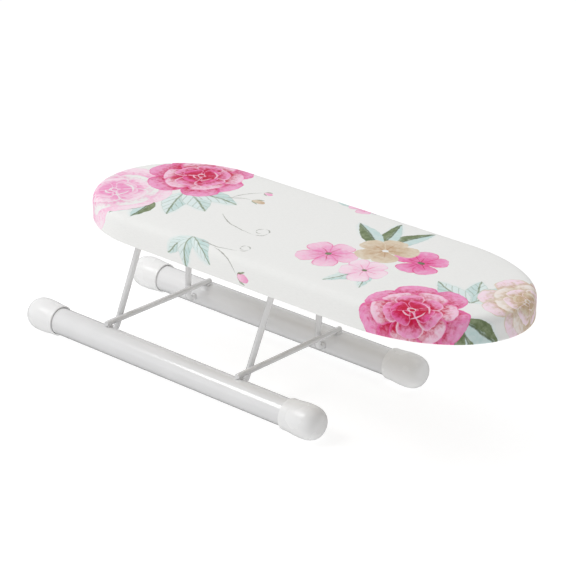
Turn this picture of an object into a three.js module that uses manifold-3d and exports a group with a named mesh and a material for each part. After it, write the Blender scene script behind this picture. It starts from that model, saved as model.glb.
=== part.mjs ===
// Tabletop sleeve ironing board: a padded board on two folding wire legs, over a foot frame of two
// tubes joined by two welded crossbars. The legs lean a little past upright onto the crossbars,
// which stop them. Pushing the board back over the feet folds both legs flat together.
//
// Units are millimetres. +X runs along the board towards its free end, +Y to the rear, +Z up.
// The origin is on the ground, under the centre of the object's outer box.
import * as THREE from 'three';
import { mergeVertices } from 'three/addons/utils/BufferGeometryUtils.js';
import Module from 'manifold-3d';

const wasm = await Module();
wasm.setup();

// ---- Driving dimensions ------------------------------------------------------------------
// Positions along X are measured from the middle of the foot tubes.
const GAP = 0.3; // left between pieces that touch

const TUBE_SPACING = 120;
const TUBE_RADIUS = 11;
const TUBE_WALL = 1.2;
const CAP_RIM_X = 125.5;
const CAP_END_X = 158.4;
const CAP_RADIUS = 13.6;
const CAP_RIM_RADIUS = 12.7;
const CAP_SHOULDER = 7; // from a cap's end to the shoulder that its tube butts against
const CAP_END_WALL = 3.5;
const CAP_HOLLOW_RADIUS = 8;
const CAP_SIDES = 24;

const CROSSBAR_X = 72.2;
const CROSSBAR_RADIUS = 2.2;
const CROSSBAR_LENGTH = 120;

const WIRE_RADIUS = 2.5;
const WIRE_BEND = 6;
const LEG_LEAN = 0.214; // how far a leg moves towards +X as it rises
const LEG_SPLAY = 0.186; // how far each wire moves inwards as it rises
const LEG_FOOT_OFFSET = 8.3; // leg pivot to crossbar, along X
const LEG_FOOT_HALF_WIDTH = 41.9; // where a wire's line meets the height of the foot pivot
const LEG_STUB_END = 57; // where a wire ends inside its tube

const BOARD_LENGTH = 410;
const BOARD_WIDTH = 144;
const BOARD_LEFT_TIP_X = -117;
const LEFT_END_LENGTH = 83;
const RIGHT_END_LENGTH = 100;
const BOARD_UNDERSIDE = 110;
const BOARD_TOP = 131.8;
const COVER_THICKNESS = 1;
const COVER_EDGE_ROUNDING = 6;
const HEM_WIDTH = 20;
const ELASTIC_WIDTH = 5;
const PANEL_THICKNESS = 8;

const CLIP_THICKNESS = 1.2;
const CLIP_WIDTH = 10;
const CLIP_HALF_LENGTH = 12.5;
const CLIP_Y = 11;
const SCREW_OFFSET = 8.6;
const SCREW_RADIUS = 1.5;
const SCREW_HEAD_RADIUS = 3;
const SCREW_HEAD_HEIGHT = 1.6;
const SCREW_LENGTH = 7;

// ---- Worked out from them ----------------------------------------------------------------
const TUBE_Y = TUBE_SPACING / 2;
const TUBE_HEIGHT = CAP_RADIUS;
const TUBE_HALF_LENGTH = CAP_END_X - CAP_SHOULDER - GAP;
const CROSSBAR_HEIGHT = TUBE_HEIGHT + TUBE_RADIUS + GAP + CROSSBAR_RADIUS;
const BOARD_RIGHT_TIP_X = BOARD_LEFT_TIP_X + BOARD_LENGTH;
const BOX_CENTRE_X = (BOARD_RIGHT_TIP_X - CAP_END_X) / 2;
const PANEL_UNDERSIDE = BOARD_UNDERSIDE + COVER_THICKNESS + GAP;
const PANEL_TOP = PANEL_UNDERSIDE + PANEL_THICKNESS;
const TOP_PIVOT_HEIGHT = PANEL_UNDERSIDE - GAP - WIRE_RADIUS - GAP;
const PANEL_INSET = COVER_THICKNESS + GAP;

const WHITE_PAINT = { color: 0xf1f2f2, roughness: 0.25, metalness: 0.1 };
const WHITE_PLASTIC = { color: 0xf6f6f6, roughness: 0.35, metalness: 0 };
const ZINC_STEEL = { color: 0xb9bcc0, roughness: 0.35, metalness: 0.9 };
const FIBREBOARD = { color: 0xb08d62, roughness: 0.85, metalness: 0 };
const FOAM = { color: 0xf2e9c9, roughness: 0.95, metalness: 0 };
const COTTON = { color: 0xf0efea, roughness: 0.9, metalness: 0 };
const ELASTIC = { color: 0xe4e2dc, roughness: 0.8, metalness: 0 };

const assembly = new THREE.Group();
assembly.position.x = -BOX_CENTRE_X;

function addPiece(name, geometry, finish) {
  const mesh = new THREE.Mesh(geometry, new THREE.MeshStandardMaterial(finish));
  mesh.name = name;
  assembly.add(mesh);
}

// ---- Solids ------------------------------------------------------------------------------
function toSolid(geometry) {
  const bare = geometry.clone();
  bare.deleteAttribute('normal');
  bare.deleteAttribute('uv');
  const merged = mergeVertices(bare, 1e-4);
  const corners = merged.index.array;
  const kept = [];
  for (let i = 0; i < corners.length; i += 3) {
    const [a, b, c] = corners.slice(i, i + 3);
    if (a !== b && b !== c && c !== a) {
      kept.push(a, b, c);
    }
  }
  return new wasm.Manifold(
    new wasm.Mesh({
      numProp: 3,
      vertProperties: new Float32Array(merged.attributes.position.array),
      triVerts: new Uint32Array(kept),
    }),
  );
}

function toGeometry(solid) {
  const mesh = solid.getMesh();
  const geometry = new THREE.BufferGeometry();
  geometry.setAttribute('position', new THREE.BufferAttribute(mesh.vertProperties, 3));
  geometry.setIndex(new THREE.BufferAttribute(mesh.triVerts, 1));
  geometry.computeVertexNormals();
  return geometry;
}

// Cuts the tools out of a shape. With no tools it only joins up the shape's shared corners.
function cut(geometry, ...tools) {
  return toGeometry(tools.reduce((solid, tool) => solid.subtract(toSolid(tool)), toSolid(geometry)));
}

function cylinderAlongY(radius, length, sides) {
  return new THREE.CylinderGeometry(radius, radius, length, sides);
}

function cylinderAlongZ(radius, length, sides) {
  return new THREE.CylinderGeometry(radius, radius, length, sides).rotateX(Math.PI / 2);
}

// ---- Foot frame --------------------------------------------------------------------------
const legFootX = { left: -CROSSBAR_X - LEG_FOOT_OFFSET, right: CROSSBAR_X - LEG_FOOT_OFFSET };

// A hollow tube along X, with a round hole in its inner wall for each leg wire's end.
function makeTube(side) {
  const inner = TUBE_RADIUS - TUBE_WALL;
  const ring = new THREE.Shape();
  ring.absarc(0, 0, TUBE_RADIUS, 0, 2 * Math.PI);
  const bore = new THREE.Path();
  bore.absarc(0, 0, inner, 0, 2 * Math.PI);
  ring.holes.push(bore);
  const tube = new THREE.ExtrudeGeometry(ring, {
    depth: 2 * TUBE_HALF_LENGTH,
    bevelEnabled: false,
    curveSegments: 12,
  });
  tube.translate(0, 0, -TUBE_HALF_LENGTH);
  tube.rotateY(Math.PI / 2);
  tube.translate(0, side * TUBE_Y, TUBE_HEIGHT);
  const holeDepth = TUBE_WALL + 4;
  const holeY = side * (TUBE_Y - TUBE_RADIUS + TUBE_WALL / 2);
  const holes = Object.values(legFootX).map((x) =>
    cylinderAlongY(WIRE_RADIUS + GAP, holeDepth, 16).translate(x, holeY, TUBE_HEIGHT),
  );
  return cut(tube, ...holes);
}

// A moulded plastic cup pushed over a tube's end: a thin rim, a bulging side and a rounded end,
// with a shoulder inside for the tube and a narrower hollow beyond it.
// Its sides are placed so that one of them lies flat on the ground.
function makeCap(side, end) {
  const flatten = 1 / Math.cos(Math.PI / CAP_SIDES);
  const length = CAP_END_X - CAP_RIM_X;
  const bulgeStart = 0.45 * length;
  const bulgeEnd = 0.62 * length;
  const boreRadius = TUBE_RADIUS + GAP;
  const profile = [
    new THREE.Vector2(0, length - CAP_END_WALL),
    new THREE.Vector2(CAP_HOLLOW_RADIUS, length - CAP_END_WALL),
    new THREE.Vector2(CAP_HOLLOW_RADIUS, length - CAP_SHOULDER),
    new THREE.Vector2(boreRadius, length - CAP_SHOULDER),
    new THREE.Vector2(boreRadius, 0),
    new THREE.Vector2(CAP_RIM_RADIUS - 0.5, 0),
    new THREE.Vector2(CAP_RIM_RADIUS, 1),
    new THREE.Vector2((CAP_RIM_RADIUS + 2 * CAP_RADIUS) / 3, bulgeStart / 2),
    new THREE.Vector2(CAP_RADIUS, bulgeStart),
    new THREE.Vector2(CAP_RADIUS, bulgeEnd),
  ];
  const roundSteps = 5;
  const squareness = 0.8;
  for (let i = 1; i <= roundSteps; i += 1) {
    const turn = (i / roundSteps) * (Math.PI / 2);
    const radius = i === roundSteps ? 0 : CAP_RADIUS * Math.cos(turn) ** squareness;
    const height = bulgeEnd + (length - bulgeEnd) * Math.sin(turn) ** squareness;
    profile.push(new THREE.Vector2(radius, height));
  }
  for (const point of profile) {
    point.x *= flatten;
  }
  const cap = new THREE.LatheGeometry(profile, CAP_SIDES);
  cap.rotateY(Math.PI / CAP_SIDES);
  cap.rotateZ(-end * (Math.PI / 2));
  cap.translate(end * CAP_RIM_X, side * TUBE_Y, TUBE_HEIGHT);
  return cut(cap);
}

const sides = { front: -1, rear: 1 };
const ends = { left: -1, right: 1 };

for (const [sideName, side] of Object.entries(sides)) {
  addPiece(`foot_tube_${sideName}`, makeTube(side), WHITE_PAINT);
  for (const [endName, end] of Object.entries(ends)) {
    addPiece(`end_cap_${sideName}_${endName}`, makeCap(side, end), WHITE_PLASTIC);
  }
}

for (const [endName, end] of Object.entries(ends)) {
  const bar = cylinderAlongY(CROSSBAR_RADIUS, CROSSBAR_LENGTH, 16);
  bar.translate(end * CROSSBAR_X, 0, CROSSBAR_HEIGHT);
  addPiece(`crossbar_${endName}`, bar, WHITE_PAINT);
}

// ---- Legs --------------------------------------------------------------------------------
// A path through a list of corners, with each inner corner rounded off as a bend.
function bentPath(corners, bendRadius) {
  const path = new THREE.CurvePath();
  let last = corners[0];
  for (let i = 1; i < corners.length - 1; i += 1) {
    const back = corners[i - 1].clone().sub(corners[i]).normalize();
    const ahead = corners[i + 1].clone().sub(corners[i]).normalize();
    const turn = Math.PI - back.angleTo(ahead);
    const reach = bendRadius * Math.tan(turn / 2);
    const start = corners[i].clone().addScaledVector(back, reach);
    const finish = corners[i].clone().addScaledVector(ahead, reach);
    path.add(new THREE.LineCurve3(last, start));
    path.add(new THREE.QuadraticBezierCurve3(start, corners[i], finish));
    last = finish;
  }
  path.add(new THREE.LineCurve3(last, corners[corners.length - 1]));
  return path;
}

// One wire bent to a U: an end in each tube, two leaning and splayed wires, and a top that turns
// under the board.
function makeLeg(footX) {
  const rise = TOP_PIVOT_HEIGHT - TUBE_HEIGHT;
  const topX = footX + LEG_LEAN * rise;
  const topY = LEG_FOOT_HALF_WIDTH - LEG_SPLAY * rise;
  const halfWire = (side) => [
    new THREE.Vector3(footX, side * LEG_STUB_END, TUBE_HEIGHT),
    new THREE.Vector3(footX, side * LEG_FOOT_HALF_WIDTH, TUBE_HEIGHT),
    new THREE.Vector3(topX, side * topY, TOP_PIVOT_HEIGHT),
  ];
  const corners = [...halfWire(-1), ...halfWire(1).reverse()];
  const section = new THREE.Shape();
  section.absarc(0, 0, WIRE_RADIUS, 0, 2 * Math.PI);
  return new THREE.ExtrudeGeometry(section, {
    steps: 84,
    curveSegments: 4,
    extrudePath: bentPath(corners, WIRE_BEND),
  });
}

for (const [endName, footX] of Object.entries(legFootX)) {
  addPiece(`leg_wire_${endName}`, makeLeg(footX), WHITE_PAINT);
}

// ---- Board -------------------------------------------------------------------------------
// The board seen from above: straight sides between two half ellipses.
function boardOutline(inset, Kind = THREE.Shape) {
  const halfWidth = BOARD_WIDTH / 2 - inset;
  const leftX = BOARD_LEFT_TIP_X + LEFT_END_LENGTH;
  const rightX = BOARD_RIGHT_TIP_X - RIGHT_END_LENGTH;
  const quarter = Math.PI / 2;
  const outline = new Kind();
  outline.moveTo(leftX, -halfWidth);
  outline.lineTo(rightX, -halfWidth);
  outline.absellipse(rightX, 0, RIGHT_END_LENGTH - inset, halfWidth, -quarter, quarter, false, 0);
  outline.lineTo(leftX, halfWidth);
  outline.absellipse(leftX, 0, LEFT_END_LENGTH - inset, halfWidth, quarter, 3 * quarter, false, 0);
  return outline;
}

function boardSlab(outline, bottom, top) {
  const slab = new THREE.ExtrudeGeometry(outline, {
    depth: top - bottom,
    bevelEnabled: false,
    curveSegments: 12,
  });
  return slab.translate(0, 0, bottom);
}

// A slab whose top edge is rounded and whose bottom edge is square.
function roundedSlab(inset, bottom, top, rounding) {
  const both = new THREE.ExtrudeGeometry(boardOutline(inset + rounding), {
    depth: top - bottom,
    bevelThickness: rounding,
    bevelSize: rounding,
    bevelSegments: 3,
    curveSegments: 12,
  });
  both.translate(0, 0, bottom - rounding);
  const below = new THREE.BoxGeometry(2 * BOARD_LENGTH, 2 * BOARD_WIDTH, 2 * rounding);
  below.translate(BOX_CENTRE_X, 0, bottom - rounding);
  return cut(both, below);
}

const legTopRise = TOP_PIVOT_HEIGHT - TUBE_HEIGHT;
const clipPlaces = [];
for (const [endName, footX] of Object.entries(legFootX)) {
  for (const [sideName, side] of Object.entries(sides)) {
    clipPlaces.push({
      name: `${endName}_${sideName}`,
      x: footX + LEG_LEAN * legTopRise,
      y: side * CLIP_Y,
    });
  }
}

// Calls make(x, y) at each clip's two screws.
function atScrews(place, make) {
  return [-SCREW_OFFSET, SCREW_OFFSET].map((offset) => make(place.x + offset, place.y));
}

function makePanel() {
  const slab = boardSlab(boardOutline(PANEL_INSET), PANEL_UNDERSIDE, PANEL_TOP);
  const depth = SCREW_LENGTH + GAP;
  const pilots = clipPlaces.flatMap((place) =>
    atScrews(place, (x, y) =>
      cylinderAlongZ(SCREW_RADIUS + GAP, 2 * depth, 8).translate(x, y, PANEL_UNDERSIDE - GAP),
    ),
  );
  return cut(slab, ...pilots);
}

function makePad() {
  const top = BOARD_TOP - COVER_THICKNESS - GAP;
  return roundedSlab(PANEL_INSET, PANEL_TOP + GAP, top, COVER_EDGE_ROUNDING - PANEL_INSET);
}

// The cover goes over the top and sides and turns in under the edge, open in the middle below.
function makeCover() {
  const outer = roundedSlab(0, BOARD_UNDERSIDE, BOARD_TOP, COVER_EDGE_ROUNDING);
  const inside = roundedSlab(
    COVER_THICKNESS,
    BOARD_UNDERSIDE + COVER_THICKNESS,
    BOARD_TOP - COVER_THICKNESS,
    COVER_EDGE_ROUNDING - COVER_THICKNESS,
  );
  const mouth = boardSlab(boardOutline(HEM_WIDTH), BOARD_UNDERSIDE - 1, PANEL_TOP);
  return cut(outer, inside, mouth);
}

// The flat elastic that draws the cover's hem in under the panel.
function makeElastic() {
  const band = boardOutline(HEM_WIDTH + GAP);
  band.holes.push(boardOutline(HEM_WIDTH + GAP + ELASTIC_WIDTH, THREE.Path));
  return boardSlab(band, BOARD_UNDERSIDE, BOARD_UNDERSIDE + COVER_THICKNESS);
}

addPiece('board_panel', makePanel(), FIBREBOARD);
addPiece('foam_pad', makePad(), FOAM);
addPiece('fabric_cover', makeCover(), COTTON);
addPiece('hem_elastic', makeElastic(), ELASTIC);

// ---- Clips and screws --------------------------------------------------------------------
// A steel strap bent round the wire, with a flat ear each side that is screwed to the panel.
function makeClip(place) {
  const inner = WIRE_RADIUS + GAP;
  const outer = inner + CLIP_THICKNESS;
  const earTop = PANEL_UNDERSIDE - GAP - TOP_PIVOT_HEIGHT;
  const earBottom = earTop - CLIP_THICKNESS;
  const strap = new THREE.Shape();
  strap.moveTo(-CLIP_HALF_LENGTH, earTop);
  strap.lineTo(-CLIP_HALF_LENGTH, earBottom);
  strap.lineTo(-outer, earBottom);
  strap.absarc(0, 0, outer, Math.PI, 2 * Math.PI, false);
  strap.lineTo(outer, earBottom);
  strap.lineTo(CLIP_HALF_LENGTH, earBottom);
  strap.lineTo(CLIP_HALF_LENGTH, earTop);
  strap.lineTo(inner, earTop);
  strap.absarc(0, 0, inner, 2 * Math.PI, Math.PI, true);
  strap.lineTo(-inner, earTop);
  const clip = new THREE.ExtrudeGeometry(strap, {
    depth: CLIP_WIDTH,
    bevelEnabled: false,
    curveSegments: 6,
  });
  clip.translate(0, 0, -CLIP_WIDTH / 2);
  clip.rotateX(Math.PI / 2);
  clip.translate(place.x, place.y, TOP_PIVOT_HEIGHT);
  const holes = atScrews(place, (x, y) =>
    cylinderAlongZ(SCREW_RADIUS + GAP, 6, 10).translate(x, y, TOP_PIVOT_HEIGHT + earBottom),
  );
  return cut(clip, ...holes);
}

// A pan-head screw, driven upwards into the panel.
function makeScrew(x, y) {
  const headTop = PANEL_UNDERSIDE - GAP - CLIP_THICKNESS - GAP;
  const profile = [
    new THREE.Vector2(0, -SCREW_HEAD_HEIGHT),
    new THREE.Vector2(0.6 * SCREW_HEAD_RADIUS, -0.85 * SCREW_HEAD_HEIGHT),
    new THREE.Vector2(SCREW_HEAD_RADIUS, -0.4 * SCREW_HEAD_HEIGHT),
    new THREE.Vector2(SCREW_HEAD_RADIUS, 0),
    new THREE.Vector2(SCREW_RADIUS, 0),
    new THREE.Vector2(SCREW_RADIUS, SCREW_LENGTH - SCREW_RADIUS),
    new THREE.Vector2(0, SCREW_LENGTH),
  ];
  return cut(new THREE.LatheGeometry(profile, 10).rotateX(Math.PI / 2).translate(x, y, headTop));
}

for (const place of clipPlaces) {
  addPiece(`pivot_clip_${place.name}`, makeClip(place), ZINC_STEEL);
  atScrews(place, makeScrew).forEach((screw, i) => {
    addPiece(`clip_screw_${place.name}_${i + 1}`, screw, ZINC_STEEL);
  });
}

export default assembly;
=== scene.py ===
"""A tabletop sleeve ironing board: the looks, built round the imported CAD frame.

Everything is in metres, in the frame's own axes: +X along the board towards its free end,
+Y to the rear, +Z up. MM turns millimetres into metres.
"""
import bmesh
import bpy
import math
import random
import numpy as np
from mathutils import Matrix, Vector
from mathutils.kdtree import KDTree


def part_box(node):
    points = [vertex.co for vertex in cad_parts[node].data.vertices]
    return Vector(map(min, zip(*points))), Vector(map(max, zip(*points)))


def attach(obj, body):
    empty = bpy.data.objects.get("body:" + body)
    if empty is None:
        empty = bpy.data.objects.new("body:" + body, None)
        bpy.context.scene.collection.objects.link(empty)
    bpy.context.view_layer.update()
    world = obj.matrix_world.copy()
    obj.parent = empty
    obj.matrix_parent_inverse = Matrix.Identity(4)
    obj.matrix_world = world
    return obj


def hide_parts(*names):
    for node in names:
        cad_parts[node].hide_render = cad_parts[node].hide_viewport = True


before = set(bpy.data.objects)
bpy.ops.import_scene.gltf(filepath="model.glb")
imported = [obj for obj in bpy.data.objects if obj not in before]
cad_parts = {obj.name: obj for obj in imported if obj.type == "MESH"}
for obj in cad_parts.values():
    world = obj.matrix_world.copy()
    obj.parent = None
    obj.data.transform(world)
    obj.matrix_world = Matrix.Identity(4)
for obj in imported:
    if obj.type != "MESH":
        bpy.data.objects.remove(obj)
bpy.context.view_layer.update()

MM = 0.001
UP = Vector((0, 0, 1))
SQUARE = ((-1, -1), (1, -1), (1, 1), (-1, 1))

# ---- Places and sizes, read from the CAD nodes
COVER_LOW, COVER_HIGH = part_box("fabric_cover")
PANEL_LOW, PANEL_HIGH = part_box("board_panel")
PAD_LOW, PAD_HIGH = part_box("foam_pad")

END_LENGTHS = (83 * MM, 100 * MM)  # how far the left and right ends' half ellipses reach
HALF_WIDTH = COVER_HIGH.y
LEFT_CENTRE = COVER_LOW.x + END_LENGTHS[0]
RIGHT_CENTRE = COVER_HIGH.x - END_LENGTHS[1]


# ---- Mesh helpers
def new_piece(name, vertices, faces):
    mesh = bpy.data.meshes.new(name)
    mesh.from_pydata([tuple(v) for v in vertices], [], faces)
    mesh.validate()
    piece = bpy.data.objects.new(name, mesh)
    bpy.context.scene.collection.objects.link(piece)
    mesh.shade_smooth()
    return piece


def loft_faces(rows, columns, closed_rows=False):
    """Quads between rows of points, where each row is a closed loop of that many columns."""
    faces = []
    for r in range(rows if closed_rows else rows - 1):
        following = (r + 1) % rows
        for c in range(columns):
            ahead = (c + 1) % columns
            faces.append((r * columns + c, r * columns + ahead,
                          following * columns + ahead, following * columns + c))
    return faces


def loft(name, rings, capped=True):
    """A surface through closed loops of points, with or without flat faces on its ends."""
    columns = len(rings[0])
    faces = loft_faces(len(rings), columns)
    if capped:
        last = (len(rings) - 1) * columns
        faces += [tuple(range(columns))[::-1], tuple(range(last, last + columns))]
    piece = new_piece(name, np.concatenate(rings), faces)
    clean_mesh(piece)
    return piece


def clean_mesh(piece, join=1e-6, flat=0.0):
    """Joins points closer than join, drops faces flatter than flat, and faces the rest outwards."""
    made = bmesh.new()
    made.from_mesh(piece.data)
    bmesh.ops.remove_doubles(made, verts=made.verts, dist=join)
    if flat:
        bmesh.ops.dissolve_degenerate(made, edges=made.edges, dist=flat)
    bmesh.ops.recalc_face_normals(made, faces=made.faces)
    made.to_mesh(piece.data)
    made.free()


def sharpen(piece, degrees=35):
    """Keeps edges sharper than this crisp, with the rest shaded smooth."""
    piece.data.shade_smooth()
    made = bmesh.new()
    made.from_mesh(piece.data)
    limit = math.radians(degrees)
    for edge in made.edges:
        if len(edge.link_faces) == 2 and edge.calc_face_angle(0) > limit:
            edge.smooth = False
    made.to_mesh(piece.data)
    made.free()


def circle(radius, sides):
    turn = np.arange(sides) * 2 * math.pi / sides
    return np.stack([radius * np.cos(turn), radius * np.sin(turn)], 1).tolist()


def quarter(steps, first=0):
    """The sine and cosine at equal steps of a quarter turn."""
    turns = [math.pi / 2 * k / steps for k in range(first, steps + 1)]
    return [(math.sin(turn), math.cos(turn)) for turn in turns]


def lathe(name, profile, axis, sides=96):
    """Turns a profile of (radius, distance along axis) round a line from a point in a direction."""
    origin, direction = Vector(axis[0]), Vector(axis[1]).normalized()
    turn = UP.rotation_difference(direction).to_matrix()
    rings = []
    for radius, along in profile:
        ring = circle(max(radius, 1e-7), sides)
        points = [origin + turn @ Vector((x, y, along)) for x, y in ring]
        rings.append(np.array(points))
    return loft(name, rings, capped=False)


def directions(path):
    """The unit direction of a line of points at each of them."""
    return [(ahead - behind).normalized()
            for behind, ahead in zip([path[0]] + path[:-1], path[1:] + [path[-1]])]


def sweep(name, path, radius, sides):
    """A round wire along a path of points, with slightly rounded ends."""
    tangents = directions(path)
    normal = tangents[0].orthogonal().normalized()
    rings = []
    edge = 0.25 * radius
    for i, (point, tangent) in enumerate(zip(path, tangents)):
        normal = (normal - tangent * normal.dot(tangent)).normalized()
        side = tangent.cross(normal)
        rings.append(np.array([point + x * normal + y * side for x, y in circle(radius, sides)]))
        if i in (0, len(path) - 1):
            outward = -tangent if i == 0 else tangent
            small = [point + outward * edge + (x * normal + y * side)
                     for x, y in circle(radius - edge, sides)]
            rings.insert(0 if i == 0 else len(rings), np.array(small))
    piece = loft(name, rings)
    sharpen(piece, 50)
    return piece


def apply_modifiers(piece):
    graph = bpy.context.evaluated_depsgraph_get()
    mesh = bpy.data.meshes.new_from_object(piece.evaluated_get(graph))
    piece.modifiers.clear()
    piece.data = mesh


def drill(radius, length, start, direction=UP, sides=24):
    """A round cutting tool from a point in a direction."""
    profile = [(0, 0), (radius, 0), (radius, length), (0, length)]
    return lathe("drill", profile, (start, direction), sides)


def cut_away(piece, tools):
    for tool in tools:
        modifier = piece.modifiers.new("cut", "BOOLEAN")
        modifier.operation = "DIFFERENCE"
        modifier.solver = "EXACT"
        modifier.object = tool
    apply_modifiers(piece)
    for tool in tools:
        bpy.data.objects.remove(tool)


# ---- Board outline
def outline(count, inset=0.0):
    """Evenly spaced points round the board's edge from its right tip, and the outward normals.

    Also gives how far round each point is, and the whole way round.
    """
    fine = np.linspace(0, math.pi, 2001)
    x = np.where(np.cos(fine) > 0, RIGHT_CENTRE + END_LENGTHS[1] * np.cos(fine),
                 LEFT_CENTRE + END_LENGTHS[0] * np.cos(fine))
    half = np.stack([x, HALF_WIDTH * np.sin(fine)], 1)
    points = np.concatenate([half, half[-2::-1] * (1, -1)])
    along = np.concatenate([[0], np.cumsum(np.linalg.norm(np.diff(points, axis=0), axis=1))])
    at = np.linspace(0, along[-1], count, endpoint=False)
    edge = np.stack([np.interp(at, along, points[:, k]) for k in (0, 1)], 1)
    tangent = np.roll(edge, -1, axis=0) - np.roll(edge, 1, axis=0)
    tangent /= np.linalg.norm(tangent, axis=1)[:, None]
    normal = np.stack([tangent[:, 1], -tangent[:, 0]], 1)
    return edge - normal * inset, normal, at, along[-1]


def level(points, height):
    return np.column_stack([points, np.full(len(points), height)])


# ---- Camera, lights and floor
CAMERA_PLACE = Vector((1102.8, -1206.5, 789.9)) * MM
CAMERA_AIM = Vector((-44.0, 51.7, 50.7)) * MM
CAMERA_LENS, SENSOR_WIDTH = 144.2, 36
SKY_LEFT, SKY_RIGHT = 1.25, 0.45  # how bright the sky is at each end of the board
SKY_LOW = (0.06, 0.06, 0.06, 1)  # the sky below the horizon
SKY_STRENGTH = 0.55
FLOOR_GLOW = 0.78
FLOOR_HALF, FLOOR_DROP = 40, 0.2 * MM
KEY_POWER, TOP_POWER = 13, 8


def aimed_object(name, data, place, aim):
    thing = bpy.data.objects.new(name, data)
    thing.location = place
    thing.rotation_mode = "QUATERNION"
    thing.rotation_quaternion = (Vector(aim) - Vector(place)).to_track_quat("-Z", "Y")
    bpy.context.scene.collection.objects.link(thing)
    return thing


def add_camera():
    data = bpy.data.cameras.new("camera")
    data.lens = CAMERA_LENS
    data.sensor_width = SENSOR_WIDTH
    bpy.context.scene.camera = aimed_object("camera", data, CAMERA_PLACE, CAMERA_AIM)


def add_light(name, place, aim, size, power):
    data = bpy.data.lights.new(name, "AREA")
    data.shape = "DISK"
    data.size = size
    data.energy = power
    aimed_object(name, data, place, aim)


def add_world():
    """Soft white light from above, and a grey below that only shines in glossy edges."""
    world = bpy.data.worlds.new("studio")
    world.use_nodes = True
    nodes = Nodes(world.node_tree)
    direction = nodes.add("ShaderNodeSeparateXYZ")
    nodes.put(nodes.add("ShaderNodeTexCoord").outputs["Generated"], direction.inputs[0])
    above = nodes.smooth(direction.outputs["Z"], -0.12, 0.0)
    from_left = nodes.smooth(direction.outputs["X"], -1.0, 1.0, SKY_LEFT, SKY_RIGHT)
    sky = nodes.mix(above, SKY_LOW, nodes.grey(from_left))
    nodes.fill(world.node_tree.nodes["Background"], {"Color": sky, "Strength": SKY_STRENGTH})
    bpy.context.scene.world = world


def add_floor():
    material, nodes, shader = new_material("floor")
    speckle = nodes.noise(object_place(nodes), 30, 2)
    nodes.fill(shader, {
        "Base Color": nodes.mix(speckle, (0.33, 0.33, 0.33, 1), (0.35, 0.35, 0.35, 1)),
        "Roughness": 0.95, "Specular IOR Level": 0.0,
        "Emission Color": (1, 1, 1, 1), "Emission Strength": FLOOR_GLOW})
    corners = [(x * FLOOR_HALF, y * FLOOR_HALF, 0) for x, y in SQUARE]
    floor = new_piece("floor", corners, [(0, 1, 2, 3)])
    floor.location.z = -FLOOR_DROP
    floor.data.materials.append(material)
    floor.visible_glossy = False


def add_studio():
    bpy.context.scene.view_settings.view_transform = "Standard"
    add_world()
    add_floor()
    add_light("key", (-0.9, -1.0, 1.5), (0, 0, 0.08), 1.0, KEY_POWER)
    add_light("top", (0.2, 0.3, 1.7), (0, 0, 0), 1.5, TOP_POWER)


# ---- Material helpers
def new_material(name):
    """A material, the nodes of its tree, and its shader."""
    material = bpy.data.materials.new(name)
    material.use_nodes = True
    return material, Nodes(material.node_tree), material.node_tree.nodes["Principled BSDF"]


class Nodes:
    """Adds and links nodes of one tree."""

    def __init__(self, tree):
        self.tree = tree

    def add(self, kind, inputs=None, **settings):
        node = self.tree.nodes.new(kind)
        for key, value in settings.items():
            setattr(node, key, value)
        self.fill(node, inputs or {})
        return node

    def fill(self, node, inputs):
        for key, value in inputs.items():
            self.put(value, node.inputs[key])

    def put(self, value, socket):
        if isinstance(value, bpy.types.NodeSocket):
            self.tree.links.new(value, socket)
        else:
            socket.default_value = value

    def math(self, operation, *values):
        node = self.add("ShaderNodeMath", operation=operation)
        self.fill(node, dict(enumerate(values)))
        return node.outputs[0]

    def vector(self, operation, *values, output=0):
        node = self.add("ShaderNodeVectorMath", operation=operation)
        self.fill(node, dict(enumerate(values)))
        return node.outputs[output]

    def smooth(self, value, low, high, start=0.0, end=1.0):
        """Runs smoothly from start to end as the value goes from low to high."""
        ends = {"Value": value, "From Min": low, "From Max": high, "To Min": start, "To Max": end}
        return self.add("ShaderNodeMapRange", ends, interpolation_type="SMOOTHSTEP",
                        clamp=False).outputs[0]

    def mix(self, factor, first, second, blend="MIX"):
        return self.add("ShaderNodeMix", {"Factor": factor, 6: first, 7: second}, data_type="RGBA",
                        blend_type=blend).outputs[2]

    def grey(self, value):
        return self.add("ShaderNodeCombineColor", {0: value, 1: value, 2: value}).outputs[0]

    def noise(self, vector, scale, detail=2.0, roughness=0.5, output="Fac"):
        return self.add("ShaderNodeTexNoise", {"Scale": scale, "Detail": detail, "Roughness": roughness,
                                               "Vector": vector}).outputs[output]

    def bump(self, height, distance, strength=1.0, under=None):
        inputs = {"Height": height, "Distance": distance, "Strength": strength}
        if under is not None:
            inputs["Normal"] = under
        return self.add("ShaderNodeBump", inputs).outputs[0]


def object_place(nodes):
    return nodes.add("ShaderNodeTexCoord").outputs["Object"]


# ---- Materials
def white_paint():
    """Gloss white powder coat, with its slight orange peel."""
    material, nodes, shader = new_material("frame_paint")
    place = object_place(nodes)
    peel = nodes.noise(place, 900, 2)
    waves = nodes.noise(place, 220, 1)
    height = nodes.math("ADD", peel, nodes.math("MULTIPLY", waves, 2.0))
    patches = nodes.noise(place, 40, 3)
    nodes.fill(shader, {
        "Base Color": nodes.mix(patches, (0.80, 0.80, 0.805, 1), (0.86, 0.86, 0.865, 1)),
        "Roughness": nodes.smooth(peel, 0.2, 0.8, 0.16, 0.26),
        "Normal": nodes.bump(height, 0.02 * MM, 0.6),
        "Coat Weight": 1.0, "Coat Roughness": 0.07})
    return material


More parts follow.
